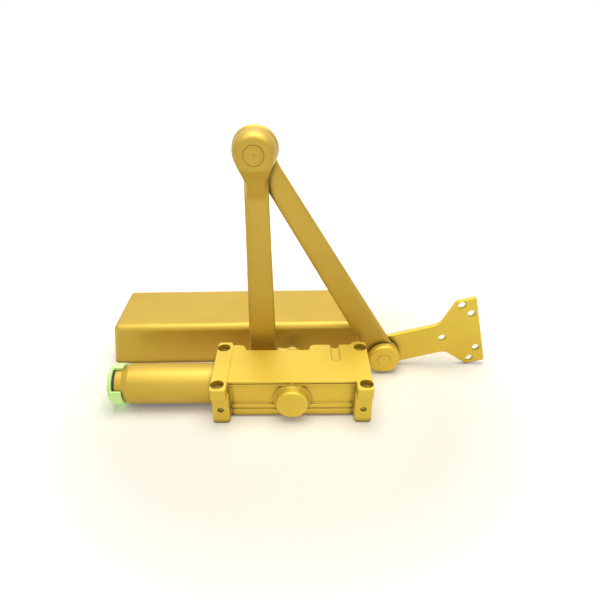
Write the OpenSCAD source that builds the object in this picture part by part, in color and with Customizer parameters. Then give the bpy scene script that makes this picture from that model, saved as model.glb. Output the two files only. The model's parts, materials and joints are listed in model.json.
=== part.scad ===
// Surface door closer, lying on its door face: body, spring tube, arm set and loose cover.
// Origin: centre of the four mounting holes, on the door face. +X runs away from the spring
// tube, +Y follows the pinion axis towards the arm, +Z points away from the door. Millimetres.

/* [Closer body] */
// Length of the casting over its mounting lugs
body_len = 176; // [172:1:184]
// Depth of the main block along the pinion axis
body_depth = 58; // [58:1:60]
// Height of the lug pads above the door face
body_height = 50; // [49.5:0.5:52]
// Height of the pinion and piston axes above the door face
axis_height = 24.5; // [24:0.25:25]
// Gap between the main block and the door face
block_lift = 1.5; // [1:0.25:2]
// Depth over the lugs along the pinion axis
lug_span = 89; // [88:0.5:89.5]
// Width of each lug
lug_w = 17.5; // [16:0.5:19]
// Thickness of each lug plate
lug_t = 13.5; // [10:0.5:14]
// Corner radius of the lugs
lug_r = 3.5; // [2:0.5:5]
// How far the feet stand back under the lugs
foot_setback = 5; // [4:0.25:5]
// How much wider each foot is than its lug, towards the middle of the body
foot_spread = 1.6; // [0:0.1:2]
// Wall of the barrel around the turned spigot bore
barrel_wall = 1.4; // [1:0.1:1.4]
// Sinking of the middle of the top face between the lug pads
top_sink = 0.5; // [0.3:0.1:1]
// Distance of the mounting holes from the ends of the casting
bolt_inset_x = 7.5; // [6.5:0.5:8.5]
// Distance of the mounting holes from the lugs' outer sides
bolt_inset_y = 10.7; // [10.4:0.1:11]
// Radius of the mounting holes
bolt_r = 3.2; // [2.8:0.1:3.4]
// Radius of the counterbores over the mounting holes
counterbore_r = 7.2; // [6.5:0.1:7.5]
// Depth of the counterbores
counterbore_depth = 8; // [6:0.5:9]
// Height of the cover holes in the feet
cover_hole_height = 18.5; // [16:0.5:22]
// Radius of the cover holes in the feet
cover_hole_r = 3.3; // [2.5:0.1:3.6]
// Depth of the cover holes in the feet
cover_hole_depth = 2.2; // [1.6:0.1:2.3]

/* [Body panels] */
// Sinking of the framed side panels
panel_sink = 2; // [1.2:0.1:2.2]
// Lower edge of the side panels above the door face
panel_z0 = 17.6; // [16:0.2:19]
// Upper edge of the side panels above the door face
panel_z1 = 43.3; // [42:0.1:44]
// Margin between the side panels and the lugs
panel_margin = 2.4; // [2:0.1:4]
// Width of the grooves between the ribs of the frame
groove_w = 2.6; // [1.5:0.1:3]
// Depth of the grooves between the ribs of the frame
groove_depth = 1.4; // [0.6:0.1:1.8]
// Height of the lower groove above the door face
groove_z = 10.2; // [9:0.1:11.5]
// Width of the fine lines round the side panels
line_w = 1.2; // [0.6:0.1:1.4]
// Depth of the fine lines round the side panels
line_depth = 1.2; // [0.6:0.1:1.4]
// Reach of the valve block beyond the centre plane
valve_block_reach = 39.5; // [38:0.5:41]
// Start of the valve block beside the pinion boss
valve_block_x = 20.5; // [20:0.5:21]
// Corner rounding of the valve block
block_round = 6; // [4:0.5:7]
// Length of the corner web beside the tube end
web_len = 16; // [13:0.5:18]
// Corner rounding of the corner web
web_round = 8; // [5:0.5:8.5]
// Distance of the sweep valve from the pinion
sweep_valve_x = 34; // [32:0.5:38]
// Distance of the latch valve from the end of the casting
latch_valve_inset = 24; // [22:0.5:26]
// Place of the flute in the valve block
flute_x = 50.5; // [49:0.5:52]
// Radius of the flute in the valve block
flute_r = 5.2; // [4:0.1:5.5]
// Inner end of the flute on the top face
flute_y = 12; // [10:0.5:16]
// Depth of the flute in the top face
flute_depth = 2; // [1:0.1:2.5]

/* [Pinion and boss] */
// Radius of the pinion bosses
boss_r = 17.6; // [17:0.1:18]
// Radius of the flare where a boss meets the wall
boss_flare = 4; // [2:0.5:5]
// Reach of the bosses from the centre plane
boss_reach = 33.5; // [33:0.25:34.5]
// Radius of the pinion bore through the casting
pinion_bore_r = 12.3; // [12.1:0.05:12.6]
// Radius of the pinion journals
journal_r = 9; // [8.6:0.1:9.2]
// Half length of the toothed part of the pinion
tooth_half = 16.5; // [15:0.25:17]
// Gap between each pinion bearing and the rack's tooth tips
bearing_gap = 0.5; // [0.3:0.1:0.6]
// Length of each pinion bearing
bearing_len = 8.5; // [7:0.5:8.5]
// Length of each shaft seal
seal_len = 2.4; // [2:0.1:2.6]
// Number of pinion teeth
teeth = 16; // [15:1:17]
// Tooth module
tooth_module = 1.25; // [1.2:0.01:1.26]
// Radius of the pinion neck outside the body
neck_r = 8.6; // [8:0.1:8.8]
// Width across the flats of the square pinion end
square_w = 12; // [11:0.25:12.5]
// Radius of the round cap over the near pinion end
cap_r = 17.6; // [17:0.1:18]
// Thickness of the round cap
cap_t = 6.3; // [6:0.1:7]
// Edge rounding of the round cap
cap_round = 1.8; // [1:0.1:2.4]

/* [Spring tube] */
// Outside radius of the spring tube
tube_r = 23.2; // [23:0.1:23.4]
// Inside radius of the spring tube
tube_bore_r = 19.6; // [19.4:0.1:20]
// Length of tube that stands out of the body
tube_len = 96; // [92:1:102]
// Radius of the turned spigots at the tube ends
spigot_r = 21.4; // [21.1:0.1:21.5]
// Length of the spigots
spigot_len = 12; // [10:0.5:13]
// Thickness of the seal behind the tube's spigot
tube_seal_t = 1.2; // [0.8:0.1:1.6]
// Length of the bevel on the tube's end cap
bevel_len = 7.5; // [6:0.5:8.5]
// Radius of the end cap's neck
cap_neck_r = 20.4; // [20:0.1:20.8]
// Length of the end cap's neck
cap_neck_len = 7.8; // [7:0.1:9]

/* [Power adjustment] */
// Outside radius of the plastic dial
dial_r = 23.5; // [23.3:0.1:23.8]
// Skirt clearance around the end cap
dial_gap = 0.4; // [0.3:0.05:0.6]
// Thickness of the dial's end wall
dial_wall = 5.1; // [4.6:0.1:6]
// Edge rounding of the dial's end wall
dial_round = 4.5; // [3:0.5:5]
// Angle of each window in the skirt
window_angle = 72; // [50:1:90]
// Direction of the first window, up from the near side
window_tilt = 50; // [40:1:60]
// Thickness of the black ring behind the dial
ring_t = 2.2; // [1.6:0.1:2.4]
// Radius of the adjusting screw
screw_r = 5; // [4.5:0.1:5.5]
// Thickness of the spring nut
nut_t = 10; // [8:0.5:12]
// Distance of the spring nut from the end cap's spigot
nut_gap = 9; // [6:0.5:12]
// Wire radius of the outer spring
outer_wire_r = 2.6; // [2.3:0.1:2.7]
// Turns of the outer spring
outer_turns = 9; // [7:1:10]
// Wire radius of the inner spring
inner_wire_r = 1.7; // [1.4:0.1:1.8]
// Turns of the inner spring
inner_turns = 13; // [10:1:14]

/* [Piston] */
// Radius of the piston
piston_r = 19; // [18.8:0.05:19.1]
// Reach of the piston towards the spring
piston_left = 56; // [52:1:58]
// Gap between the piston and the end plug, where the spring holds the piston at rest
stop_gap = 0.4; // [0.3:0.1:1]
// Travel of the piston towards the spring
piston_travel = 26; // [22:1:27]
// Width of the piston's seal band
piston_seal_w = 4; // [3:0.5:5]
// Gap between the piston's window and the pinion bearings
window_gap = 0.6; // [0.4:0.1:1]
// Length of the end plug
plug_len = 18; // [16:0.5:19]
// Radius of the end plug
plug_r = 20.6; // [20.2:0.1:21]

/* [Arms] */
// Running gap between the fitted cover's wall and the main arm
arm_gap = 0.3; // [0.2:0.1:0.8]
// Thickness of the main arm
arm_t = 8.3; // [8:0.1:8.8]
// Thickness of the forearm
forearm_t = 7.8; // [7.5:0.1:8.2]
// Thickness of the washers between the arm pieces
washer_t = 0.55; // [0.5:0.05:0.7]
// Height of the elbow above the pinion
arm_rise = 252.5; // [246:0.5:256]
// Sideways crank of the main arm at its hub
arm_offset = 35.6; // [34:0.2:37]
// Width of the main arm above its hub
arm_foot_w = 33; // [30:0.5:34]
// Width of the main arm below the elbow
arm_head_w = 25.4; // [23:0.2:27]
// Radius of the hub on the pinion
hub_r = 12.5; // [12.5:0.25:14]
// Thickness of the hub
hub_t = 10.5; // [9.5:0.25:11]
// How far each edge of the cranked neck stands in from the hub's rim
neck_inset = 3; // [1:0.1:3]
// How far the arm's round foot stands out past its edges
foot_swell = 0.8; // [0.5:0.1:1.5]
// Radius of the elbow heads
elbow_r = 23.2; // [22:0.2:24]
// Height of the dome on the elbow's front
dome_h = 14.4; // [13:0.2:15]
// Radius of the flat on the elbow's front
dome_flat_r = 15.8; // [14:0.2:17]
// Length of the collar that widens the main arm into the elbow's head
collar_len = 31; // [28:0.5:36]
// Length of the ramp from the main arm's face up to the elbow's face
ramp_len = 50; // [46:1:54]
// Radius of the elbow and shoe studs
stud_r = 7; // [6.6:0.1:7.2]
// Radius of the riveted head on the elbow
elbow_rivet_r = 9.4; // [9:0.1:11]
// Radius of the riveted head on the shoe's disc
shoe_rivet_r = 7.5; // [7.4:0.1:9]
// Height of the raised rim round a riveted head
rivet_rim = 0.5; // [0.3:0.1:0.6]
// How far the rim reaches over the edge of its recess
rim_lap = 0.7; // [0.5:0.1:0.9]
// Forearm reach along the body
forearm_run = 149; // [144:1:154]
// Height of the shoe's pivot above the door face
shoe_z = 21; // [20.9:0.1:24]
// Width of the forearm below the elbow
forearm_head_w = 25; // [23:0.5:27]
// Width of the forearm above the shoe
forearm_foot_w = 35; // [32:0.5:37]
// Radius of the forearm's lower eye
eye_r = 20.2; // [19.5:0.1:20.6]
// Edge chamfer along both arms
arm_edge = 2.6; // [2:0.1:2.8]
// Radius of the forearm's head at the elbow
forearm_head_r = 24.2; // [23.4:0.1:24.6]
// Rim chamfer of the arms' round heads
head_edge = 3.2; // [3:0.1:3.3]

/* [Shoe] */
// Radius of the round disc in front of the forearm
disc_r = 19.6; // [19:0.1:20]
// Thickness of the round disc
disc_t = 10.1; // [9.6:0.1:10.2]
// Thickness of the shoe plate
plate_t = 5.4; // [5:0.1:5.6]
// Upward turn of the shoe plate
shoe_angle = 15; // [14.8:0.1:20]
// Half width of the shoe's neck
shoe_neck = 20.6; // [19:0.1:20.7]
// Distance from the shoe pivot to the start of the flare
flare_u = 77; // [74:0.5:79]
// Fillet where the flare starts
flare_r = 16; // [10:1:18]
// Distance from the shoe pivot to the plate's head
head_u = 98; // [95:0.5:100]
// Distance from the shoe pivot to the plate's far edge
edge_u = 124; // [121:0.5:127]
// Half length of the plate's head
head_v = 47.5; // [46:0.25:47.7]
// Distance from the shoe pivot to the two outer holes
outer_hole_u = 105.8; // [105:0.2:107]
// Half spacing of the two outer holes
outer_hole_v = 40.6; // [39:0.2:41]
// Distance from the shoe pivot to the two inner holes
inner_hole_u = 115.6; // [114.5:0.2:116]
// Half spacing of the two inner holes
inner_hole_v = 25.9; // [24:0.2:28]
// Distance from the shoe pivot to the single hole
single_hole_u = 76.5; // [73:0.5:80]
// Radius of the shoe's screw holes
shoe_hole_r = 4.4; // [4:0.1:4.6]

/* [Cover] */
// Length of the cover at its rim
cover_len = 321; // [318:0.5:324]
// Clearance between the lugs and the fitted cover
cover_gap = 0.6; // [0.4:0.1:1]
// Height of the cover
cover_height = 55.5; // [55:0.5:60]
// Wall thickness of the cover
cover_wall = 1.8; // [1.5:0.1:2]
// Lean of the cover's end walls
end_draft = 7; // [5:0.5:8]
// Lean of the cover's long walls
side_draft = 0.4; // [0.3:0.1:0.5]
// Corner rounding of the cover's rim
cover_corner = 10; // [8:0.5:11]
// Rounding of the cover's top edges
cover_round = 8; // [6:0.5:8]
// Half width of the pinion slot in the far wall
slot_half = 9.8; // [9.6:0.1:11]
// Place of the cover's near left corner along the body
cover_x = -230.5; // [-234:0.5:-226]
// Gap between the shoe plate and the standing cover
cover_stand = 0.3; // [0.3:0.1:6]
// Turn of the standing cover
cover_turn = 0.9; // [0:0.1:2]

/* [Hidden] */
$fn = 64;
fit = 0.05;
valve_r = 3.6;
valve_bore_r = valve_r + fit;
valve_len = 15;
valve_z = axis_height + 8.5;
backcheck_y = -22;
backcheck_z = body_height - 7;
half_len = body_len / 2;
half_depth = body_depth / 2;
half_span = lug_span / 2;
valve_x = [sweep_valve_x, half_len - latch_valve_inset];
bolt_x = half_len - bolt_inset_x;
bolt_y = half_span - bolt_inset_y;
plug_x = half_len - plug_len;
barrel_r = spigot_r + barrel_wall;
foot_reach = half_span - foot_setback;
lug_x = half_len - lug_w / 2;
bore_r = piston_r + fit;
pitch_r = teeth * tooth_module / 2;
addendum = 0.9 * tooth_module;
dedendum = 1.2 * tooth_module;
tip_r = pitch_r + addendum;
backlash = 0.16;
// The plain core of the pinion runs just under the roots of its teeth
core_r = pitch_r - dedendum - 0.3;
// Half length of the rack's tooth tips, where the piston's round side cuts them off
rack_half = sqrt(piston_r ^ 2 - (pitch_r - addendum) ^ 2);
bearing_y = max(tooth_half, rack_half) + bearing_gap;
end_x = -half_len - tube_len;
neck_x = end_x - bevel_len;
cap_end_x = neck_x - cap_neck_len;
ring_x = cap_end_x - ring_t;
dial_x = ring_x - fit - dial_wall;
nut_x = end_x + spigot_len + nut_gap;
spring_x0 = nut_x + nut_t;
spring_x1 = -piston_left;
// The adjusting screw ends this far past the spring nut
screw_reach = 12;
screw_end_x = spring_x0 + screw_reach;
screw_tip_len = 2;
piston_right = plug_x - stop_gap;
nut_flange_t = nut_t - 2;
outer_spring_r = bore_r - 0.8 - outer_wire_r;
inner_spring_r = outer_spring_r - outer_wire_r - inner_wire_r - 1.4;
seal_y = bearing_y + bearing_len + 0.2;
retainer_y = seal_y + seal_len + 0.2;
cover_depth = lug_span + 2 * (cover_wall + cover_gap);
arm_plane_y = cover_depth / 2 + arm_gap;
main_y1 = arm_plane_y + arm_t;
forearm_y0 = main_y1 + washer_t;
forearm_y1 = forearm_y0 + forearm_t;
plate_y0 = forearm_y1 + washer_t;
plate_y1 = plate_y0 + plate_t;
cover_y = plate_y1 + cover_stand;
elbow_x = -arm_offset;
elbow_z = axis_height + arm_rise;
shoe_x = elbow_x + forearm_run;
forearm_lean = atan2(forearm_run, elbow_z - shoe_z);
head_t = 2.6;
// Height of the main arm's round foot above the pinion
foot_rise = 12;
// The arms' bars end this far short of the centres of the round heads
bar_inset = 6;
rivet_head_t = 1.1;

GOLD = [0.83, 0.66, 0.26];
STEEL = [0.62, 0.63, 0.65];
BRONZE = [0.68, 0.5, 0.3];
GREEN = [0.74, 0.93, 0.58];
BLACK = [0.08, 0.08, 0.08];

function arc(cx, cy, r, a0, a1, n = 8) =
    [for (i = [0:n]) [cx + r * cos(a0 + (a1 - a0) * i / n), cy + r * sin(a0 + (a1 - a0) * i / n)]];

module along_x(x0, x1, r) {
    translate([x0, 0, 0]) rotate([0, 90, 0]) cylinder(h = x1 - x0, r = r);
}

module along_y(y0, y1, r) {
    translate([0, y0, 0]) rotate([-90, 0, 0]) cylinder(h = y1 - y0, r = r);
}

module turned_x(profile) {
    rotate([0, 90, 0]) rotate_extrude() polygon(profile);
}

module turned_y(profile) {
    rotate([-90, 0, 0]) rotate_extrude() polygon(profile);
}

module ring_x(x0, x1, r, bore) {
    difference() {
        along_x(x0, x1, r);
        along_x(x0 - 1, x1 + 1, bore);
    }
}

module ring_y(y0, y1, r, bore) {
    difference() {
        along_y(y0, y1, r);
        along_y(y0 - 1, y1 + 1, bore);
    }
}

module box(x0, x1, y0, y1, z0, z1) {
    translate([x0, y0, z0]) cube([x1 - x0, y1 - y0, z1 - z0]);
}

module rounded_rect(x, y, r) {
    square([x, y - 2 * r], center = true);
    square([x - 2 * r, y], center = true);
    for (sx = [-1, 1], sy = [-1, 1])
        translate([sx * (x / 2 - r), sy * (y / 2 - r)]) circle(r = r);
}

module post(x0, x1, y0, y1, z0, z1, r) {
    translate([(x0 + x1) / 2, (y0 + y1) / 2, z0])
        linear_extrude(z1 - z0) rounded_rect(x1 - x0, y1 - y0, r);
}

module at_axis() {
    translate([0, 0, axis_height]) children();
}

// Closer body

module body_lugs() {
    root = half_depth - 8;
    for (sx = [-1, 1], sy = [-1, 1]) at_corner(sx, sy) {
        post(half_len - lug_w, half_len, root, half_span, body_height - lug_t, body_height, lug_r);
        post(half_len - lug_w - foot_spread, half_len, root, foot_reach,
            0, body_height - lug_t + 1, lug_r);
    }
}

module at_corner(sx, sy) {
    mirror([sx < 0 ? 1 : 0, 0, 0]) mirror([0, sy < 0 ? 1 : 0, 0]) children();
}

module body_boss(sy) {
    flare = arc(boss_r + boss_flare, boss_reach - 1.5, boss_flare, 180, 270);
    inner = half_depth - panel_sink - 2;
    at_axis() mirror([0, sy < 0 ? 1 : 0, 0])
        turned_y(concat([[0, inner], [0, boss_reach], [boss_r, boss_reach]], flare,
            [[boss_r + boss_flare, inner]]));
}

module valve_block() {
    x1 = half_len - lug_w + 1;
    difference() {
        post(valve_block_x, x1 + 6, 10, valve_block_reach, 8, body_height - top_sink, block_round);
        translate([flute_x, valve_block_reach + 0.6, 0])
            cylinder(h = body_height + 1, r = flute_r);
    }
}

module tube_side_web() {
    post(-half_len + lug_w - 6, -half_len + lug_w + web_len, 10, valve_block_reach,
        8, body_height - top_sink, web_round);
}

module side_panel(sy) {
    x1 = half_len - lug_w - panel_margin;
    face = half_depth - panel_sink;
    line_y = half_depth - line_depth;
    mirror([0, sy < 0 ? 1 : 0, 0]) difference() {
        union() {
            box(-x1, x1, face, half_depth + 1, panel_z0, panel_z1);
            box(-x1, x1, half_depth - groove_depth, half_depth + 1, groove_z, groove_z + groove_w);
            box(-x1 - 1, x1 + 1, line_y, half_depth + 1, panel_z1 + 2.2, panel_z1 + 2.2 + line_w);
            for (x = [-x1 - panel_margin / 2, x1 + panel_margin / 2])
                box(x - line_w / 2, x + line_w / 2, line_y, half_depth + 1, groove_z, panel_z1);
        }
        at_axis() along_y(face - 2, half_depth + 2, boss_r + boss_flare - 0.4);
    }
}

module top_flute() {
    translate([flute_x, 0, body_height - top_sink - flute_depth]) {
        translate([0, flute_y, 0]) cylinder(h = flute_depth + 1, r = flute_r);
        box(-flute_r, flute_r, flute_y, half_span, 0, flute_depth + 1);
    }
}

module mounting_holes() {
    for (sx = [-1, 1], sy = [-1, 1])
        translate([sx * bolt_x, sy * bolt_y, 0]) {
            translate([0, 0, -1]) cylinder(h = body_height + 2, r = bolt_r);
            translate([0, 0, body_height - counterbore_depth])
                cylinder(h = counterbore_depth + 1, r = counterbore_r);
        }
}

module cover_holes() {
    for (sx = [-1, 1], sy = [-1, 1]) mirror([0, sy < 0 ? 1 : 0, 0])
        translate([sx * (lug_x - 1), foot_reach - cover_hole_depth, cover_hole_height])
            rotate([-90, 0, 0]) cylinder(h = cover_hole_depth + 1, r = cover_hole_r);
}

module valve_places() {
    for (x = valve_x) translate([x, valve_block_reach, valve_z]) rotate([90, 0, 0]) children();
    translate([half_len, backcheck_y, backcheck_z]) rotate([0, -90, 0]) children();
}

module outer_casting() {
    difference() {
        union() {
            post(-half_len, half_len, -half_depth, half_depth, block_lift, body_height, lug_r);
            body_lugs();
            body_boss(-1);
            body_boss(1);
            valve_block();
            tube_side_web();
        }
        box(-half_len + lug_w, half_len - lug_w, -half_span, half_span,
            body_height - top_sink, body_height + boss_r);
        side_panel(-1);
        top_flute();
    }
}

module closer_body() {
    color(GOLD) difference() {
        union() {
            outer_casting();
            at_axis() along_x(-half_len + 0.5, half_len - 0.5, barrel_r);
        }
        at_axis() {
            along_x(-half_len - 1, plug_x + 1, bore_r);
            along_x(-half_len - 1, -half_len + spigot_len, spigot_r + fit);
            along_x(plug_x, half_len + 1, plug_r + fit);
            along_y(-boss_reach - 1, boss_reach + 1, pinion_bore_r);
        }
        mounting_holes();
        cover_holes();
        valve_places() translate([0, 0, -1]) cylinder(h = valve_len + 2, r = valve_bore_r);
    }
}

// Spring tube and its end

module spring_tube() {
    color(GOLD) at_axis() difference() {
        union() {
            along_x(end_x, -half_len, tube_r);
            along_x(-half_len - 1, -half_len + spigot_len - tube_seal_t, spigot_r);
        }
        along_x(end_x - 1, -half_len + spigot_len, tube_bore_r);
    }
}

module tube_seal() {
    color(BLACK) at_axis()
        ring_x(-half_len + spigot_len - tube_seal_t, -half_len + spigot_len, spigot_r, tube_bore_r);
}

module tube_end_cap() {
    color(GOLD) at_axis() difference() {
        turned_x([[0, cap_end_x], [cap_neck_r - 0.6, cap_end_x], [cap_neck_r, cap_end_x + 0.6],
            [cap_neck_r, neck_x], [tube_r, end_x], [tube_bore_r - fit, end_x],
            [tube_bore_r - fit, end_x + spigot_len], [0, end_x + spigot_len]]);
        along_x(cap_end_x - 1, end_x + spigot_len + 1, screw_r + fit);
    }
}

// Power adjustment

module power_dial() {
    inner_r = cap_neck_r + dial_gap;
    lip = neck_x + dial_gap;
    color(GREEN) at_axis() difference() {
        turned_x(concat([[0, dial_x], [dial_r - dial_round, dial_x]],
            arc(dial_r - dial_round, dial_x + dial_round, dial_round, -90, 0),
            [[dial_r, lip], [inner_r, lip], [inner_r, ring_x - fit], [0, ring_x - fit]]));
        for (turn = [0, 180]) rotate([turn, 0, 0]) skirt_window();
        along_x(dial_x - 1, ring_x, screw_r + fit);
    }
}

module skirt_window() {
    reach = 2 * dial_r;
    half = window_angle / 2;
    translate([ring_x, 0, 0]) rotate([0, 90, 0]) linear_extrude(tube_len)
        polygon([for (a = [-half, 0, half], r = [0, reach]) if (r > 0 || a == -half)
            let (d = r / cos(a == 0 ? 0 : half)) [-d * sin(window_tilt + a), -d * cos(window_tilt + a)]]);
}

module dial_ring() {
    color(BLACK) at_axis() ring_x(ring_x, cap_end_x, cap_neck_r, screw_r + 1);
}

module adjusting_screw() {
    color(STEEL) at_axis() difference() {
        union() {
            along_x(dial_x + 0.8, screw_end_x, screw_r);
            along_x(screw_end_x, screw_end_x + screw_tip_len, screw_r - 1);
        }
        translate([dial_x, 0, 0]) rotate([0, 90, 0]) cylinder(h = 4.5, r = 3.2, $fn = 6);
    }
}

module spring_nut() {
    color(STEEL) at_axis() difference() {
        union() {
            along_x(nut_x, nut_x + nut_flange_t, tube_bore_r - 0.6);
            along_x(nut_x, nut_x + nut_t, outer_spring_r - outer_wire_r - 0.4);
        }
        along_x(nut_x - 1, nut_x + nut_t + 1, screw_r + fit);
    }
}

// A helix of round wire along X, from x0 to x1
module coil(x0, x1, mean_r, wire_r, turns, sides = 8, steps = 24) {
    count = turns * steps;
    span = x1 - x0 - 2 * wire_r;
    rings = [for (i = [0:count], k = [0:sides - 1])
        let (a = 360 * i / steps, b = 360 * k / sides, r = mean_r + wire_r * cos(b))
            [x0 + wire_r + span * i / count + wire_r * sin(b), r * cos(a), r * sin(a)]];
    walls = [for (i = [0:count - 1], k = [0:sides - 1])
        let (m = (k + 1) % sides, p = i * sides, q = p + sides) [p + k, q + k, q + m, p + m]];
    first = [for (k = [0:sides - 1]) k];
    last = [for (k = [sides - 1:-1:0]) count * sides + k];
    polyhedron(points = rings, faces = concat([first, last], walls), convexity = 10);
}

module outer_spring() {
    color(STEEL) at_axis()
        coil(nut_x + nut_flange_t + 0.3, spring_x1 - 0.3, outer_spring_r, outer_wire_r, outer_turns);
}

module inner_spring() {
    color(STEEL) at_axis()
        coil(spring_x0 + 0.3, spring_x1 - 0.3, inner_spring_r, inner_wire_r, inner_turns, 6, 20);
}

// Piston with its rack

module rack_gap() {
    h = addendum + dedendum;
    mid = PI * tooth_module / 4 + backlash / 2;
    lean = tan(20);
    polygon([[-mid - addendum * lean, addendum + 1], [-mid - addendum * lean, addendum],
        [-mid + dedendum * lean, -dedendum], [mid - dedendum * lean, -dedendum],
        [mid + addendum * lean, addendum], [mid + addendum * lean, addendum + 1]]);
}

module piston() {
    x0 = -pinion_bore_r - window_gap;
    x1 = pinion_bore_r + piston_travel + window_gap;
    pitch = PI * tooth_module;
    color(STEEL) at_axis() difference() {
        along_x(-piston_left, piston_right, piston_r);
        box(x0, x1, -piston_r - 1, piston_r + 1, -pitch_r + addendum, tip_r + 0.6);
        for (i = [ceil(x0 / pitch):floor(x1 / pitch)])
            translate([i * pitch, piston_r + 1, -pitch_r]) rotate([90, 0, 0])
                linear_extrude(2 * piston_r + 2) rack_gap();
        ring_x(piston_right - 9, piston_right - 9 + piston_seal_w, piston_r + 1, piston_r - 2);
        along_x(piston_right - 4, piston_right + 1, 4.5);
        along_x(x1 - 1, piston_right, 2.2);
        along_x(-piston_left - 1, x0 + 1, 6.4);
    }
}

module piston_seal() {
    color(BLACK) at_axis() ring_x(piston_right - 9 + fit, piston_right - 9 + piston_seal_w - fit,
        piston_r + 0.02, piston_r - 2 + fit);
}

module check_valve() {
    color(STEEL) at_axis() difference() {
        along_x(piston_right - 4 + fit, piston_right - 0.3, 4.5 - fit);
        along_x(piston_right - 5, piston_right, 1.5);
    }
}

module body_end_plug() {
    color(GOLD) at_axis() difference() {
        union() {
            along_x(plug_x + 1.5, half_len, plug_r);
            along_x(plug_x + fit, plug_x + 2, plug_r - 1.6);
        }
        translate([half_len - 6, 0, 0]) rotate([0, 90, 0]) cylinder(h = 7, r = 8, $fn = 6);
    }
}

module end_plug_seal() {
    color(BLACK) at_axis()
        ring_x(plug_x + fit, plug_x + 1.5 - fit, plug_r - 0.1, plug_r - 1.6 + fit);
}

// Pinion

function involute_angle(r, base) = let (a = acos(min(1, base / r))) tan(a) * 180 / PI - a;

module pinion_section() {
    base = pitch_r * cos(20);
    root = pitch_r - dedendum;
    half = 90 / teeth - backlash * 90 / (PI * pitch_r) + involute_angle(pitch_r, base);
    radii = [for (i = [0:5]) base + (tip_r - base) * i / 5];
    step = 360 / teeth;
    polygon([for (t = [0:teeth - 1], s = [-1, 1], i = [0:6])
        let (j = s < 0 ? i : 6 - i, r = j == 0 ? root : radii[j - 1],
            a = half - (j == 0 ? 0 : involute_angle(r, base)))
                [r * cos(t * step - 90 + s * a), r * sin(t * step - 90 + s * a)]]);
}

module pinion_shaft() {
    color(STEEL) at_axis() difference() {
        union() {
            translate([0, tooth_half, 0]) rotate([90, 0, 0])
                linear_extrude(2 * tooth_half) pinion_section();
            along_y(-bearing_y, bearing_y, core_r);
            along_y(-boss_reach + 0.5, -bearing_y + 0.1, journal_r);
            along_y(bearing_y - 0.1, boss_reach + 1, journal_r);
            along_y(boss_reach, arm_plane_y - 0.2, neck_r);
            box(-square_w / 2, square_w / 2, arm_plane_y - 1, arm_plane_y + hub_t - 0.4,
                -square_w / 2, square_w / 2);
        }
        along_y(arm_plane_y - 4, arm_plane_y + hub_t, 3);
    }
}

module near_bearing() {
    color(BRONZE) at_axis()
        ring_y(-bearing_y - bearing_len, -bearing_y, pinion_bore_r - fit / 2, journal_r + fit);
}

module far_bearing() {
    color(BRONZE) at_axis()
        ring_y(bearing_y, bearing_y + bearing_len, pinion_bore_r - fit / 2, journal_r + fit);
}

module near_shaft_seal() {
    color(BLACK) at_axis()
        ring_y(-seal_y - seal_len, -seal_y, pinion_bore_r - fit / 2, journal_r + fit);
}

module far_shaft_seal() {
    color(BLACK) at_axis()
        ring_y(seal_y, seal_y + seal_len, pinion_bore_r - fit / 2, journal_r + fit);
}

module pinion_retainer() {
    color(STEEL) at_axis() difference() {
        ring_y(retainer_y, boss_reach, pinion_bore_r - fit / 2, journal_r + 0.3);
        for (a = [0, 180]) rotate([0, a, 0]) translate([pinion_bore_r - 1.6, boss_reach - 1.5, 0])
            rotate([-90, 0, 0]) cylinder(h = 3, r = 0.9);
    }
}

module pinion_cap() {
    y0 = -boss_reach - cap_t;
    color(GOLD) at_axis() difference() {
        turned_y(concat([[0, y0]], arc(cap_r - cap_round, y0 + cap_round, cap_round, -90, 0),
            [[cap_r, -boss_reach], [pinion_bore_r - fit, -boss_reach],
            [pinion_bore_r - fit, -retainer_y - 0.2], [0, -retainer_y - 0.2]]));
        along_y(-boss_reach - 1.5, 0, journal_r + 0.4);
    }
}

// Regulating valves

module valve() {
    color(BRONZE) difference() {
        union() {
            cylinder(h = valve_len - 3, r = valve_r);
            translate([0, 0, valve_len - 4]) cylinder(h = 4, r1 = valve_r - 1, r2 = 0.6);
        }
        translate([0, 0, -1]) cylinder(h = 4.5, r = 1.9, $fn = 6);
    }
}

module sweep_valve() {
    translate([valve_x[0], valve_block_reach - 0.4, valve_z]) rotate([90, 0, 0]) valve();
}

module latch_valve() {
    translate([valve_x[1], valve_block_reach - 0.4, valve_z]) rotate([90, 0, 0]) valve();
}

module backcheck_valve() {
    translate([half_len - 0.4, backcheck_y, backcheck_z]) rotate([0, -90, 0]) valve();
}

// Arms

// A tapered bar between two points of the X-Z plane, with chamfered long edges
module bar(x0, z0, w0, x1, z1, w1, y0, t) {
    run = sqrt((x1 - x0) ^ 2 + (z1 - z0) ^ 2);
    turn = atan2(x1 - x0, z1 - z0);
    translate([x0, y0, z0]) rotate([0, turn, 0]) difference() {
        translate([0, t, 0]) rotate([90, 0, 0]) linear_extrude(t)
            polygon([[-w0 / 2, 0], [w0 / 2, 0], [w1 / 2, run], [-w1 / 2, run]]);
        for (side = [0, 1], y = [0, t]) mirror([side, 0, 0]) translate([w0 / 2, y, 0])
            edge_chamfer(run, atan2((w1 - w0) / 2, run));
    }
}

// The prism that takes the chamfer off one long edge
module edge_chamfer(run, lean) {
    rotate([0, lean, 0]) translate([0, 0, -run / 4]) linear_extrude(run * 1.5)
        polygon([[-arm_edge, 0], [0, -arm_edge], [arm_edge, 0], [0, arm_edge]]);
}

module at_elbow() {
    translate([elbow_x, 0, elbow_z]) children();
}

module at_shoe() {
    translate([shoe_x, 0, shoe_z]) children();
}

// A round head with chamfered rims
module round_head(y0, y1, r) {
    turned_y([[0, y0], [r - head_edge, y0], [r, y0 + head_edge], [r, y1 - head_edge],
        [r - head_edge, y1], [0, y1]]);
}

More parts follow.
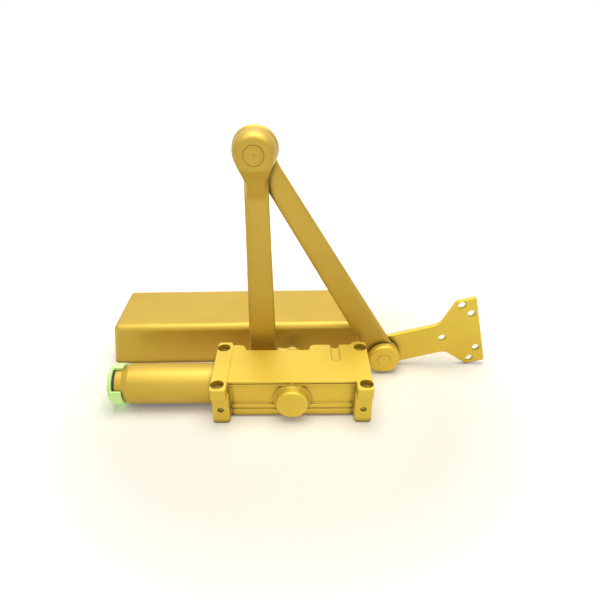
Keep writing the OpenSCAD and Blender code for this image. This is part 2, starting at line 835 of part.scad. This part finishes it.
module elbow_dome() {
    y0 = arm_plane_y - dome_h;
    rise = dome_h + head_edge;
    turned_y(concat([[0, y0]],
        [for (i = [0:8]) let (a = 90 * i / 8) [dome_flat_r + (elbow_r - dome_flat_r) * sin(a),
            y0 + rise * (1 - cos(a))]],
        [[elbow_r, main_y1 - head_edge], [elbow_r - head_edge, main_y1], [0, main_y1]]));
}

// Widens the bar into the elbow's head along tangents of the head, and ramps up to its face
module elbow_collar() {
    half = arm_head_w / 2;
    inner = half - arm_edge;
    dip = atan2(collar_len, half) - acos(elbow_r / norm([half, collar_len]));
    top_z = elbow_z - elbow_r * sin(dip);
    top_w = 2 * elbow_r * cos(dip);
    bar(elbow_x, elbow_z - collar_len, arm_head_w - 1, elbow_x, top_z, top_w - 0.2, arm_plane_y, arm_t);
    intersection() {
        translate([elbow_x - elbow_r, 0, 0]) rotate([90, 0, 90]) linear_extrude(2 * elbow_r)
            polygon([[arm_plane_y + 1, elbow_z - ramp_len], [arm_plane_y + 0.2, elbow_z - ramp_len],
                [arm_plane_y - dome_h + 0.2, elbow_z - dome_flat_r + 2],
                [arm_plane_y - dome_h + 0.2, elbow_z - 2], [arm_plane_y + 1, elbow_z - 2]]);
        translate([elbow_x, main_y1, 0]) rotate([90, 0, 0]) linear_extrude(arm_t + dome_h + 1)
            polygon([[-inner, elbow_z - ramp_len - 1], [inner, elbow_z - ramp_len - 1],
                [inner, elbow_z - collar_len], [top_w / 2 - arm_edge, top_z], [half, elbow_z],
                [-half, elbow_z], [-top_w / 2 + arm_edge, top_z], [-inner, elbow_z - collar_len]]);
    }
}

module main_arm() {
    foot_z = axis_height + foot_rise;
    neck_w = 2 * (hub_r - neck_inset);
    color(GOLD) difference() {
        union() {
            at_axis() round_head(arm_plane_y, arm_plane_y + hub_t, hub_r);
            bar(0, axis_height, neck_w, elbow_x + 6, axis_height + 5, neck_w, arm_plane_y, arm_t);
            translate([elbow_x, 0, foot_z]) round_head(arm_plane_y, main_y1, arm_foot_w / 2 + foot_swell);
            bar(elbow_x, foot_z, arm_foot_w, elbow_x, elbow_z - bar_inset, arm_head_w, arm_plane_y,
                arm_t);
            elbow_collar();
            at_elbow() elbow_dome();
        }
        translate([0, arm_plane_y - 1, axis_height]) rotate([-90, 0, 0])
            linear_extrude(hub_t + 2) square(square_w + 2 * fit, center = true);
        at_elbow() {
            along_y(arm_plane_y - dome_h - 1, main_y1 + 1, stud_r + fit);
            along_y(arm_plane_y - dome_h - 1, arm_plane_y - dome_h + rivet_head_t + fit,
                elbow_rivet_r + 0.3);
        }
    }
}

module arm_washer() {
    color(STEEL) at_axis()
        ring_y(arm_plane_y + hub_t, arm_plane_y + hub_t + 1.6, hub_r - 3, 4.3);
}

module arm_screw() {
    y1 = arm_plane_y + hub_t + 1.6;
    color(STEEL) at_axis() difference() {
        union() {
            along_y(arm_plane_y - 2, y1 + 0.5, 2.95);
            along_y(y1, y1 + 4.6, 6.5);
        }
        translate([0, y1 + 1.8, 0]) rotate([-90, 0, 0]) cylinder(h = 4, r = 3.2, $fn = 6);
    }
}

// A stud whose riveted head starts at y0, with a raised rim in front of it
module stud(y0, y1, head_r) {
    difference() {
        union() {
            along_y(y0, y1, stud_r);
            along_y(y0 - rivet_rim, y0 + rivet_head_t, head_r);
            along_y(y0 - rivet_rim, y0 - 0.02, head_r + rim_lap);
        }
        along_y(y0 - 1, y0, head_r - 0.9);
        along_y(y0 - 1, y0 + 0.5, 1.2);
    }
}

module elbow_stud() {
    color(GOLD) at_elbow() {
        stud(arm_plane_y - dome_h, forearm_y1 + 0.4, elbow_rivet_r);
        turned_y([[0, forearm_y1 + 0.3], [elbow_rivet_r + 1.5, forearm_y1 + 0.3],
            [elbow_rivet_r + 1.5, forearm_y1 + 1.4], [elbow_rivet_r, forearm_y1 + head_t],
            [0, forearm_y1 + head_t]]);
    }
}

module elbow_washer() {
    color(STEEL) at_elbow() ring_y(main_y1, forearm_y0 - 0.3, elbow_r - 2, stud_r + fit);
}

module elbow_bush() {
    color(BRONZE) at_elbow() ring_y(forearm_y0, forearm_y1, stud_r + 1.6, stud_r + fit);
}

module forearm() {
    dx = bar_inset * sin(forearm_lean);
    dz = bar_inset * cos(forearm_lean);
    color(GOLD) difference() {
        union() {
            at_elbow() round_head(forearm_y0, forearm_y1, forearm_head_r);
            bar(elbow_x + dx, elbow_z - dz, forearm_head_w, shoe_x - dx, shoe_z + dz, forearm_foot_w,
                forearm_y0, forearm_t);
            at_shoe() round_head(forearm_y0, forearm_y1, eye_r);
        }
        at_elbow() along_y(forearm_y0 - 1, forearm_y1 + 1, stud_r + 1.6 + fit);
        at_shoe() along_y(forearm_y0 - 1, forearm_y1 + 1, stud_r + 1.6 + fit);
    }
}

// Shoe

module shoe_stud() {
    color(GOLD) at_shoe() stud(main_y1 - disc_t, plate_y1, shoe_rivet_r);
}

module shoe_disc() {
    y0 = main_y1 - disc_t;
    color(GOLD) at_shoe() difference() {
        turned_y(concat([[0, y0]], arc(disc_r - 2.6, y0 + 2.6, 2.6, -90, 0),
            arc(disc_r - 1, main_y1 - 1, 1, 0, 90, 3), [[0, main_y1]]));
        along_y(y0 - 1, main_y1 + 1, stud_r + fit);
        along_y(y0 - 1, y0 + rivet_head_t + fit, shoe_rivet_r + 0.3);
    }
}

module shoe_washer() {
    color(STEEL) at_shoe() ring_y(main_y1, forearm_y0 - 0.3, disc_r - 2, stud_r + fit);
}

module shoe_bush() {
    color(BRONZE) at_shoe() ring_y(forearm_y0, forearm_y1, stud_r + 1.6, stud_r + fit);
}

module shoe_outline() {
    corner = 2.5;
    sharp = 1;
    turn = atan2(head_v - corner - shoe_neck, head_u - flare_u);
    fillet = arc(flare_u - flare_r * tan(turn / 2), shoe_neck + flare_r, flare_r, -90, turn - 90);
    side = concat(fillet, [[head_u, head_v - corner], [head_u + corner, head_v],
        [edge_u - sharp, head_v], [edge_u, head_v - sharp]]);
    circle(r = shoe_neck);
    polygon(concat([[0, -shoe_neck]], [for (p = side) [p[0], -p[1]]],
        [for (i = [len(side) - 1:-1:0]) side[i]], [[0, shoe_neck]]));
}

module shoe_plate() {
    holes = [[outer_hole_u, outer_hole_v], [outer_hole_u, -outer_hole_v],
        [inner_hole_u, inner_hole_v], [inner_hole_u, -inner_hole_v], [single_hole_u, 0]];
    color(GOLD) at_shoe() rotate([0, -shoe_angle, 0]) difference() {
        translate([0, plate_y1, 0]) rotate([90, 0, 0]) linear_extrude(plate_t) shoe_outline();
        along_y(plate_y0 - 1, plate_y1 + 1, stud_r + fit);
        for (h = holes) translate([h[0], 0, h[1]]) {
            along_y(plate_y0 - 1, plate_y1 + 1, shoe_hole_r);
            turned_y([[0, plate_y0 - 0.1], [shoe_hole_r + 1, plate_y0 - 0.1],
                [shoe_hole_r - 0.1, plate_y0 + 1.1], [0, plate_y0 + 1.1]]);
        }
    }
}

// Cover

// The drafted, round-topped form that both faces of the cover's wall follow
module cover_form(inset, top, rise) {
    r = cover_round - inset;
    hull() {
        for (u = [0, 1], v = [0, 1]) {
            x = u * cover_len + (1 - 2 * u) * (end_draft + cover_round);
            y = v * cover_depth + (1 - 2 * v) * (side_draft + cover_round);
            translate([x, y, top - r]) sphere(r = r, $fn = 32);
            translate([u * cover_len + (1 - 2 * u) * cover_corner,
                v * cover_depth + (1 - 2 * v) * cover_corner, rise])
                    cylinder(h = 0.1, r = cover_corner - inset, $fn = 32);
        }
    }
}

module cover() {
    color(GOLD) translate([cover_x, cover_y, 0]) rotate([0, 0, cover_turn]) difference() {
        cover_form(0, cover_height, 0);
        cover_form(cover_wall, cover_height - cover_wall, -0.1);
        translate([cover_len - (half_len + cover_wall + end_draft + cover_gap), cover_depth, 0]) {
            translate([0, -cover_wall * 3, axis_height]) along_y(0, cover_wall * 4, slot_half);
            box(-slot_half, slot_half, -cover_wall * 3, cover_wall, -1, axis_height);
        }
    }
}

closer_body();
spring_tube();
tube_seal();
tube_end_cap();
power_dial();
dial_ring();
adjusting_screw();
spring_nut();
outer_spring();
inner_spring();
piston();
piston_seal();
check_valve();
body_end_plug();
end_plug_seal();
pinion_shaft();
near_bearing();
far_bearing();
near_shaft_seal();
far_shaft_seal();
pinion_retainer();
pinion_cap();
sweep_valve();
latch_valve();
backcheck_valve();
main_arm();
arm_washer();
arm_screw();
elbow_stud();
elbow_washer();
elbow_bush();
forearm();
shoe_stud();
shoe_disc();
shoe_washer();
shoe_bush();
shoe_plate();
cover();
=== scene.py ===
"""Looks of the surface door closer: satin gold castings, pale green dial, pale studio floor.

Lengths are in metres, unless a name or a comment says mm.
"""

import json
import math

import bmesh
import bpy
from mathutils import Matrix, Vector


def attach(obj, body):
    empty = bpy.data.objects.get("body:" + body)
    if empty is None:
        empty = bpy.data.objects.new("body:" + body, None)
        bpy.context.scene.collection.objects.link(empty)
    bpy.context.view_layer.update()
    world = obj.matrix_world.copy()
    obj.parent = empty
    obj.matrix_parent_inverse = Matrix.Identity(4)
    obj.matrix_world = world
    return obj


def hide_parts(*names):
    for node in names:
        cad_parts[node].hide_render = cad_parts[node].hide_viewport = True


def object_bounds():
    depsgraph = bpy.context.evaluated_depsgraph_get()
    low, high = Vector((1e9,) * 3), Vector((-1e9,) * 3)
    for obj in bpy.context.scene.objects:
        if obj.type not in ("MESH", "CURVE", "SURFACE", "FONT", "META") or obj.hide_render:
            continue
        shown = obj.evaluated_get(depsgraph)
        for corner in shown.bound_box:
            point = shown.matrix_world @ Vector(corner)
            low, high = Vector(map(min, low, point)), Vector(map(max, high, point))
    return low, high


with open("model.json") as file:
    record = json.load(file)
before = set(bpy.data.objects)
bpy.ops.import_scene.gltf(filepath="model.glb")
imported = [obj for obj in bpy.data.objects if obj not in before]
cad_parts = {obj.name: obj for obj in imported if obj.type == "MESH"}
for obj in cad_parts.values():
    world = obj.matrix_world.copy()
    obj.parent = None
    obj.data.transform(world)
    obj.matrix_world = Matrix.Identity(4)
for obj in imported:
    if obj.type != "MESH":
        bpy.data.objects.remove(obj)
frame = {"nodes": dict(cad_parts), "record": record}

CAD_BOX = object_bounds()
MM = 0.001
WHITE = (1, 1, 1)

# Finishes, as linear colours
GOLD = (0.805, 0.550, 0.064)
GOLD_SHADE = (0.670, 0.425, 0.034)
# The painted shade that the gold takes in grooves, holes and tight corners
GOLD_CREVICE_SHADE = (0.055, 0.025, 0.001)
GREEN = (0.760, 0.980, 0.400)
# The colour of the dial's painted glow
GREEN_PAINTED_GLOW = (0.550, 1.000, 0.300)
STEEL = (0.420, 0.430, 0.450)
SPRING_STEEL = (0.190, 0.195, 0.205)
IRON = (0.130, 0.130, 0.135)
BRONZE = (0.480, 0.250, 0.080)
BLACK = (0.012, 0.012, 0.012)

# Painted light and shade on the gold paint: how much brighter or darker, by channel, each group of
# pieces is made
COVER_PAINTED_SHADE = (0.92, 0.92, 0.92)
BODY_PAINTED_LIGHT = (1.15, 1.23, 1.20)
ARM_PAINTED_SHADE = (0.78, 0.78, 0.78)

# The most light that any channel of the paint gives back
BRIGHTEST = 0.98

# Pieces with the body's painted light and the arms' painted shade; other gold ones take the cover's
PAINTED_LIGHT_OF = {
    **dict.fromkeys(("closer_body", "pinion_cap", "shoe_plate", "shoe_disc", "shoe_stud"), "gold_painted_lighter"),
    **dict.fromkeys(("main_arm", "forearm", "elbow_stud"), "gold_painted_darker"),
}

# How far a finish drifts from its roughness either way, and how dull its clear coat is
GLOSS_DRIFT = 0.05
COAT_ROUGHNESS = 0.4

# How strongly the dial's plastic glows, as painted light
PAINTED_GLOW_STRENGTH = 0.25

# Painted shade in crevices: how far a point looks for walls, the open share below which the
# painted shade begins, the share at which it is darkest, and how many directions it looks in
CREVICE_SHADE_REACH = 8 * MM
CREVICE_SHADE_OPEN = 0.90
CREVICE_SHADE_DEEP = 0.37
CREVICE_SHADE_SAMPLES = 8

# The castings and stampings whose edges are softened: voxel size (mm) and smoothing passes
SOFTENED = {
    "closer_body": (0.50, 3),
    "main_arm": (0.70, 16),
    "forearm": (0.70, 16),
    "shoe_plate": (0.60, 2),
    "shoe_disc": (0.50, 3),
    "pinion_cap": (0.50, 2),
    "elbow_stud": (0.40, 2),
    "shoe_stud": (0.40, 2),
}

# Vertices closer than this are joined first, and each pass moves one this share of the way to
# the middle of its neighbours
WELD = 0.002 * MM
SMOOTH_SHARE = 0.5

# The forged bars of the arms are worn rounder, outside these distances from their joints (mm)
ROUNDED = {
    "main_arm": (("pinion_turn", 17), ("elbow_fold", 11)),
    "forearm": (("elbow_fold", 26), ("shoe_swivel", 20)),
}

# The bars' smoothing passes, the distance over which they set in (mm), and the steps they take
ROUNDED_PASSES = 80
ROUNDED_FADE = 5
WEIGHT_STEPS = 8

# The world's light on dull surfaces, and each lamp's place, size and power (W)
WORLD_LIGHT = 0.03
LAMPS = {
    "overhead": ((0.05, 0.2, 1.3), 1.0, 11.6),
    "front_key": ((0.0, -0.12, 0.7), 0.8, 2.2),
    "low_fill": ((0.02, -0.35, 0.10), 0.25, 0.1),
}
LAMPS_AIM = (0, 0.05, 0.05)

# The floor: its finish, its side and how far it lies below the object. Its warm tint is painted
# light: the gold's warm bounce, which shows in the floor's shadows
FLOOR_BOUNCE_TINT = (0.90, 0.86, 0.73)
FLOOR_ROUGHNESS = 0.9
FLOOR_SHINE = 0.2
FLOOR_SIZE = 40
FLOOR_DROP = 0.2 * MM

# How much of the white background the floor shows near the object, and between which distances
# that share rises to all of it
FLOOR_LIFT = 0.16
FLOOR_FADE = (0.16, 0.48)

# The camera: its place, how far it looks down and turns (degrees), its lens and sensor (mm), and
# how near it still sees
CAMERA_AT = (0.00468, -0.46979, 0.41084)
CAMERA_DOWN = 30.43
CAMERA_TURN = -0.53
CAMERA_LENS = 31.19
CAMERA_SENSOR = 36
CAMERA_CLIP = 0.02


# Shader nodes


def feed(tree, value, socket):
    """Give a socket a link from another node, or else a number or colour."""
    if isinstance(value, bpy.types.NodeSocket):
        tree.links.new(value, socket)
    else:
        socket.default_value = value


def math_node(tree, operation, a, b):
    """A calculation on two numbers, such as their product or the larger of them."""
    node = tree.nodes.new("ShaderNodeMath")
    node.operation = operation
    feed(tree, a, node.inputs[0])
    feed(tree, b, node.inputs[1])
    return node.outputs["Value"]


def value_range(tree, value, start, end, to_start, to_end, interpolation="LINEAR"):
    """Carry a value from one range over to another."""
    node = tree.nodes.new("ShaderNodeMapRange")
    node.interpolation_type = interpolation
    node.inputs["From Min"].default_value = start
    node.inputs["From Max"].default_value = end
    node.inputs["To Min"].default_value = to_start
    node.inputs["To Max"].default_value = to_end
    tree.links.new(value, node.inputs["Value"])
    return node.outputs["Result"]


def colour_mix(tree, share, a, b):
    """A blend of two colours, by a share that changes over the surface."""
    node = tree.nodes.new("ShaderNodeMix")
    node.data_type = "RGBA"
    tree.links.new(share, node.inputs["Factor"])
    feed(tree, a, node.inputs["A"])
    feed(tree, b, node.inputs["B"])
    return node.outputs["Result"]


def noise(tree, place, scale, detail):
    """Soft noise, whose scale comes from another node."""
    node = tree.nodes.new("ShaderNodeTexNoise")
    node.inputs["Detail"].default_value = detail
    tree.links.new(place, node.inputs["Vector"])
    tree.links.new(scale, node.inputs["Scale"])
    return node.outputs["Fac"]


def new_group(name, inputs, outputs):
    """A node group whose sockets are all numbers, with its input and output nodes."""
    group = bpy.data.node_groups.new(name, "ShaderNodeTree")
    for socket, value in inputs.items():
        made = group.interface.new_socket(socket, in_out="INPUT", socket_type="NodeSocketFloat")
        made.default_value = value
    for socket in outputs:
        group.interface.new_socket(socket, in_out="OUTPUT", socket_type="NodeSocketFloat")
    return group, group.nodes.new("NodeGroupInput"), group.nodes.new("NodeGroupOutput")


def paint_film_group():
    """Fine orange peel with slow drifts of tone, for sprayed and moulded surfaces."""
    group, given, result = new_group(
        "paint_film", {"Peel Scale": 900, "Drift Scale": 18}, ("Peel", "Drift"))
    place = group.nodes.new("ShaderNodeTexCoord").outputs["Object"]
    peel = noise(group, place, given.outputs["Peel Scale"], detail=3)
    drift = noise(group, place, given.outputs["Drift Scale"], detail=2)
    group.links.new(peel, result.inputs["Peel"])
    group.links.new(drift, result.inputs["Drift"])
    return group


def crevice_shade_group():
    """Painted shade: how deep a point lies in a groove, a hole or a tight corner, 0 in the open, 1 deep
    inside.
    """
    group, given, result = new_group("painted_crevice_shade", {"Reach": CREVICE_SHADE_REACH}, ("Mask",))
    near = group.nodes.new("ShaderNodeAmbientOcclusion")
    near.samples = CREVICE_SHADE_SAMPLES
    group.links.new(given.outputs["Reach"], near.inputs["Distance"])
    mask = value_range(group, near.outputs["AO"], CREVICE_SHADE_OPEN, CREVICE_SHADE_DEEP, 0, 1)
    group.links.new(mask, result.inputs["Mask"])
    return group


PAINT_FILM = paint_film_group()
CREVICE_SHADE_GROUP = crevice_shade_group()


# Finishes


def shader_of(material):
    return material.node_tree.nodes["Principled BSDF"]


def between(a, b, share):
    """The colour that lies a share of the way from one colour to another."""
    return tuple(x + (y - x) * share for x, y in zip(a, b))


def with_painted_light(colour, painted_light_share):
    """The colour made brighter or darker, channel by channel, by painted light or shade."""
    return tuple(min(BRIGHTEST, value * share) for value, share in zip(colour, painted_light_share))


def finish(name, dark, light, metallic, roughness, peel_scale, peel_mm, coat=0):
    """A finish whose tone and gloss drift slowly, over a fine surface peel."""
    material = bpy.data.materials.new(name)
    material.use_nodes = True
    tree = material.node_tree
    shader = shader_of(material)
    shader.inputs["Metallic"].default_value = metallic
    shader.inputs["Coat Weight"].default_value = coat
    shader.inputs["Coat Roughness"].default_value = COAT_ROUGHNESS
    film = tree.nodes.new("ShaderNodeGroup")
    film.node_tree = PAINT_FILM
    film.inputs["Peel Scale"].default_value = peel_scale
    tone = colour_mix(tree, film.outputs["Drift"], (*dark, 1), (*light, 1))
    tree.links.new(tone, shader.inputs["Base Color"])
    gloss = value_range(tree, film.outputs["Peel"], 0, 1,
                        roughness - GLOSS_DRIFT, roughness + GLOSS_DRIFT)
    tree.links.new(gloss, shader.inputs["Roughness"])
    bump = tree.nodes.new("ShaderNodeBump")
    bump.inputs["Distance"].default_value = peel_mm * MM
    tree.links.new(film.outputs["Peel"], bump.inputs["Height"])
    tree.links.new(bump.outputs["Normal"], shader.inputs["Normal"])
    return material


def paint_crevice_shade(material, painted_crevice_shade):
    """Paint shade into grooves, holes and tight corners: the finish turns dark and dull there."""
    tree = material.node_tree
    shader = shader_of(material)
    deep = tree.nodes.new("ShaderNodeGroup")
    deep.node_tree = CREVICE_SHADE_GROUP
    mask = deep.outputs["Mask"]
    tone = shader.inputs["Base Color"].links[0].from_socket
    tree.links.new(colour_mix(tree, mask, tone, (*painted_crevice_shade, 1)), shader.inputs["Base Color"])
    for socket in (shader.inputs["Metallic"], shader.inputs["Coat Weight"]):
        tree.links.new(value_range(tree, mask, 0, 1, socket.default_value, 0), socket)


def gold(name, painted_light_share):
    """The satin gold paint, with painted light or shade from part to part, and painted shade in
    crevices.
    """
    material = finish(name, with_painted_light(GOLD_SHADE, painted_light_share), with_painted_light(GOLD, painted_light_share), metallic=0.5,
                      roughness=0.47, peel_scale=900, peel_mm=0.05, coat=0.2)
    paint_crevice_shade(material, GOLD_CREVICE_SHADE)
    return material


def green_plastic():
    """The dial's moulded plastic, with a faint glow in its own colour as painted light."""
    material = finish("green_plastic", between(GREEN, BLACK, share=0.08), GREEN, metallic=0,
                      roughness=0.38, peel_scale=500, peel_mm=0.03)
    shader = shader_of(material)
    shader.inputs["Emission Color"].default_value = (*GREEN_PAINTED_GLOW, 1)
    shader.inputs["Emission Strength"].default_value = PAINTED_GLOW_STRENGTH
    return material


def steel():
    """The machined steel of the shaft, screws, washers, nut and check valve."""
    return finish("steel", between(STEEL, BLACK, share=0.2), STEEL, metallic=1,
                  roughness=0.32, peel_scale=1400, peel_mm=0.02)


def spring_steel():
    """The drawn wire of the two closing springs."""
    return finish("spring_steel", between(SPRING_STEEL, BLACK, share=0.3), SPRING_STEEL, metallic=1,
                  roughness=0.38, peel_scale=1600, peel_mm=0.02)


def iron():
    """The cast iron of the piston."""
    return finish("iron", between(IRON, BLACK, share=0.3), IRON, metallic=0.9,
                  roughness=0.5, peel_scale=700, peel_mm=0.04)


def bronze():
    """The bronze of the bearings, bushes and valve screws."""
    return finish("bronze", between(BRONZE, BLACK, share=0.2), BRONZE, metallic=1,
                  roughness=0.36, peel_scale=1200, peel_mm=0.02)


def black_rubber():
    """The moulded rubber of the seals and the dial's ring."""
    return finish("black_rubber", BLACK, between(BLACK, STEEL, share=0.05), metallic=0,
                  roughness=0.6, peel_scale=600, peel_mm=0.03)


FINISHES = {
    "gold_paint": gold("gold_paint", COVER_PAINTED_SHADE),
    "gold_painted_lighter": gold("gold_painted_lighter", BODY_PAINTED_LIGHT),
    "gold_painted_darker": gold("gold_painted_darker", ARM_PAINTED_SHADE),
    "green_plastic": green_plastic(),
    "steel": steel(),
    "spring_steel": spring_steel(),
    "iron": iron(),
    "bronze": bronze(),
    "black_rubber": black_rubber(),
}

SLOT_OF = {row["node"]: row["material_slot"] for row in frame["record"]["subparts"]}


def finish_of(node):
    """The finish with the node's painted light or shade, or else of its material slot."""
    return FINISHES[PAINTED_LIGHT_OF.get(node, SLOT_OF[node])]


def paint_frame():
    """Give every piece of the frame its finish."""
    for node, piece in frame["nodes"].items():
        for slot in piece.material_slots:
            slot.material = finish_of(node)


# Softened castings


JOINT_AT = {row["name"]: Vector(row["pos_m"])
            for row in frame["record"]["behaviour"]["joints"] if "pos_m" in row}


def body_of_node(node):
    """The moving body that the node belongs to."""
    for body, nodes in frame["record"]["behaviour"]["bodies"].items():
        if node in nodes:
            return body
    raise KeyError(node)


def settle(piece):
    """Bake the piece's modifiers into its mesh."""
    settled = bpy.data.meshes.new_from_object(
        piece.evaluated_get(bpy.context.evaluated_depsgraph_get()))
    piece.modifiers.clear()
    piece.data = settled


def welded_copy(source):
    """A copy of the source's mesh without its doubled vertices."""
    mesh = source.data.copy()
    form = bmesh.new()
    form.from_mesh(mesh)
    bmesh.ops.remove_doubles(form, verts=form.verts, dist=WELD)
    form.to_mesh(mesh)
    form.free()
    return mesh


def smooth_over(piece, passes, group=""):
    """Wear the piece's edges round, over the whole of it or over a vertex group."""
    smooth = piece.modifiers.new("worn_edges", "SMOOTH")
    smooth.factor = SMOOTH_SHARE
    smooth.iterations = passes
    smooth.vertex_group = group


def mark_bar(piece, kept):
    """A vertex group that is full on the bar and fades out towards the joints' holes."""
    group = piece.vertex_groups.new(name="bar")
    steps = {}
    for vertex in piece.data.vertices:
        weight = 1.0
        for joint, radius in kept:
            away = vertex.co - JOINT_AT[joint]
            reach = (math.hypot(away.x, away.z) / MM - radius) / ROUNDED_FADE
            weight = min(weight, max(0.0, reach))
        steps.setdefault(round(weight * WEIGHT_STEPS), []).append(vertex.index)
    for step, members in steps.items():
        group.add(members, step / WEIGHT_STEPS, "REPLACE")


def round_bar(piece, kept):
    """Wear the forged bar rounder, away from the joints' holes."""
    mark_bar(piece, kept)
    smooth_over(piece, ROUNDED_PASSES, "bar")
    settle(piece)
    piece.vertex_groups.clear()


def softened(node, voxel, passes):
    """Show in the node's place a copy whose edges are worn round, as on a cast and painted surface."""
    piece = bpy.data.objects.new(node + "_casting", welded_copy(frame["nodes"][node]))
    bpy.context.collection.objects.link(piece)
    remesh = piece.modifiers.new("soft_skin", "REMESH")
    remesh.mode = "VOXEL"
    remesh.voxel_size = voxel * MM
    smooth_over(piece, passes)
    settle(piece)
    if node in ROUNDED:
        round_bar(piece, ROUNDED[node])
    piece.data.polygons.foreach_set("use_smooth", [True] * len(piece.data.polygons))
    piece.data.materials.clear()
    piece.data.materials.append(finish_of(node))
    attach(piece, body_of_node(node))
    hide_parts(node)


# Studio


def sees_background(tree):
    """1 for the rays that show the white background: direct, in reflections and through glass."""
    rays = tree.nodes.new("ShaderNodeLightPath").outputs
    mirrored = math_node(tree, "MAXIMUM", rays["Is Glossy Ray"], rays["Is Transmission Ray"])
    return math_node(tree, "MAXIMUM", rays["Is Camera Ray"], mirrored)


def floor_material():
    """A pale floor that fades into the white background, further away from the object."""
    material = bpy.data.materials.new("floor")
    material.use_nodes = True
    tree = material.node_tree
    shader = shader_of(material)
    shader.inputs["Base Color"].default_value = (*FLOOR_BOUNCE_TINT, 1)
    shader.inputs["Roughness"].default_value = FLOOR_ROUGHNESS
    shader.inputs["Specular IOR Level"].default_value = FLOOR_SHINE
    away = tree.nodes.new("ShaderNodeVectorMath")
    away.operation = "LENGTH"
    tree.links.new(tree.nodes.new("ShaderNodeTexCoord").outputs["Object"], away.inputs[0])
    far = value_range(tree, away.outputs["Value"], *FLOOR_FADE, FLOOR_LIFT, 1, "SMOOTHSTEP")
    shader.inputs["Emission Color"].default_value = (*WHITE, 1)
    tree.links.new(math_node(tree, "MULTIPLY", far, sees_background(tree)),
                   shader.inputs["Emission Strength"])
    return material


def add_floor():
    """A floor that keeps the object's shadow."""
    bpy.ops.mesh.primitive_plane_add(size=FLOOR_SIZE, location=(0, 0, CAD_BOX[0].z - FLOOR_DROP))
    floor = bpy.context.object
    floor.name = "floor"
    floor.data.materials.append(floor_material())


def add_world():
    """A white surround for the camera and for reflections, which hardly lights dull surfaces."""
    world = bpy.data.worlds.new("studio")
    bpy.context.scene.world = world
    world.use_nodes = True
    tree = world.node_tree
    light = tree.nodes["Background"]
    light.inputs["Color"].default_value = (*WHITE, 1)
    tree.links.new(math_node(tree, "MAXIMUM", sees_background(tree), WORLD_LIGHT),
                   light.inputs["Strength"])


def add_lamp(name, place, size, power):
    data = bpy.data.lights.new(name, "AREA")
    data.size = size
    data.energy = power
    lamp = bpy.data.objects.new(name, data)
    lamp.location = place
    lamp.rotation_euler = (Vector(LAMPS_AIM) - Vector(place)).to_track_quat("-Z", "Y").to_euler()
    bpy.context.collection.objects.link(lamp)


def add_camera():
    data = bpy.data.cameras.new("camera")
    data.sensor_width = CAMERA_SENSOR
    data.lens = CAMERA_LENS
    data.clip_start = CAMERA_CLIP
    camera = bpy.data.objects.new("camera", data)
    camera.location = CAMERA_AT
    camera.rotation_euler = (math.radians(90 - CAMERA_DOWN), 0, math.radians(CAMERA_TURN))
    bpy.context.collection.objects.link(camera)
    bpy.context.scene.camera = camera


paint_frame()
for node_name, (voxel_mm, smoothing) in SOFTENED.items():
    softened(node_name, voxel_mm, smoothing)
add_floor()
add_world()
for lamp_name, (lamp_place, lamp_size, lamp_power) in LAMPS.items():
    add_lamp(lamp_name, lamp_place, lamp_size, lamp_power)
add_camera()
bpy.context.scene.view_settings.view_transform = "Standard"

bpy.context.view_layer.update()
